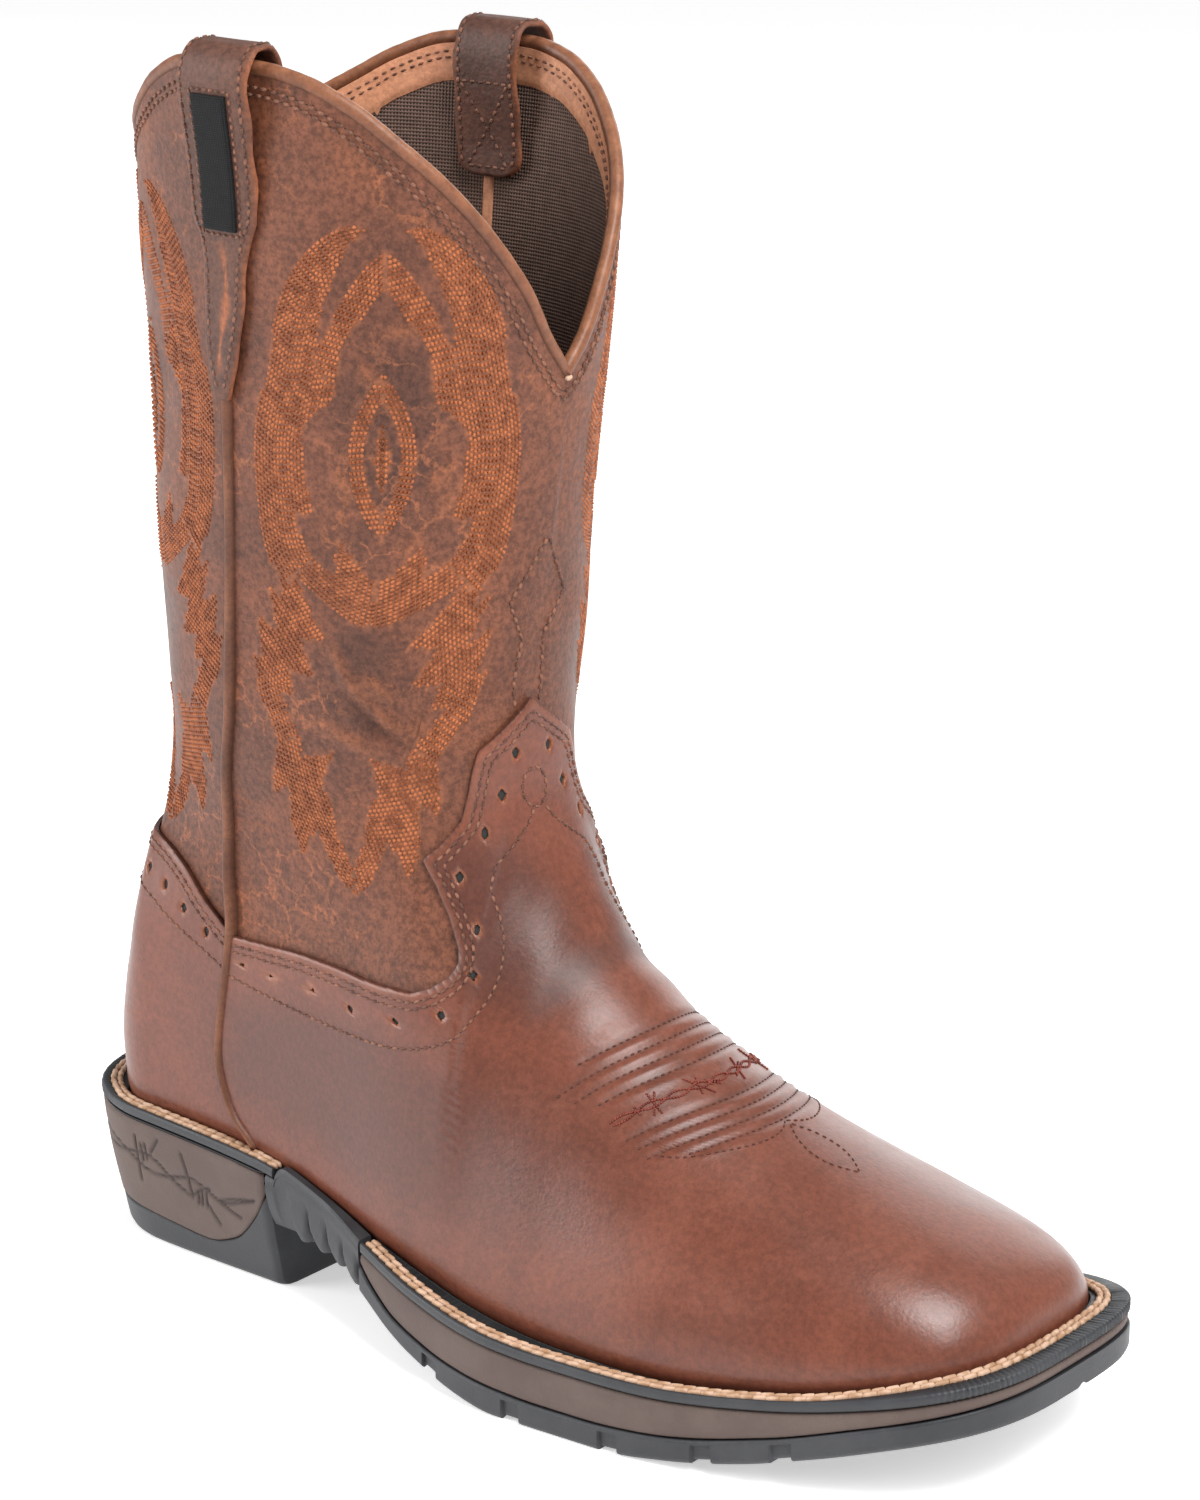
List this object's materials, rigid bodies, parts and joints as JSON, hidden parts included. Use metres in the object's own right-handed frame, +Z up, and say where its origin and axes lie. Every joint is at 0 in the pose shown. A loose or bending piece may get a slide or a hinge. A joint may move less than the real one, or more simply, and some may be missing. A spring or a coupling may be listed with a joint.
{
  "type": "western boot",
  "caption": "Right pull-on western work boot with a square toe, scalloped shaft, pull straps, stitched welt and moulded rubber sole with a low heel.",
  "frame": {"origin": "middle of the bounding box's bottom, on the floor", "axes": "+X towards the toe, +Y towards the wearer's left (the medial side of this right boot), +Z up"},
  "size_m": [0.2956, 0.1158, 0.3266],
  "materials": {
    "shaft_leather": "distressed brown leather, low sheen",
    "foot_leather": "oiled brown leather, soft sheen",
    "binding_leather": "tan rolled leather",
    "strap_leather": "dark brown rubbed leather",
    "patch_fabric": "plain dark woven patch",
    "insole_board": "fabric covered",
    "midsole_rubber": "matt taupe",
    "outsole_rubber": "matt charcoal"
  },
  "bodies": {
    "root": {"upper": "shaft_leather", "vamp": "foot_leather", "counter": "foot_leather", "collar_binding": "binding_leather", "side_piping_lateral": "binding_leather", "side_piping_medial": "binding_leather", "pull_strap_lateral": "strap_leather", "pull_strap_medial": "strap_leather", "strap_patch": "patch_fabric", "insole": "insole_board", "midsole": "midsole_rubber", "heel_panel": "midsole_rubber", "outsole": "outsole_rubber", "heel": "outsole_rubber", "welt_fore": "outsole_rubber", "welt_heel": "outsole_rubber"}
  },
  "joints": []
}
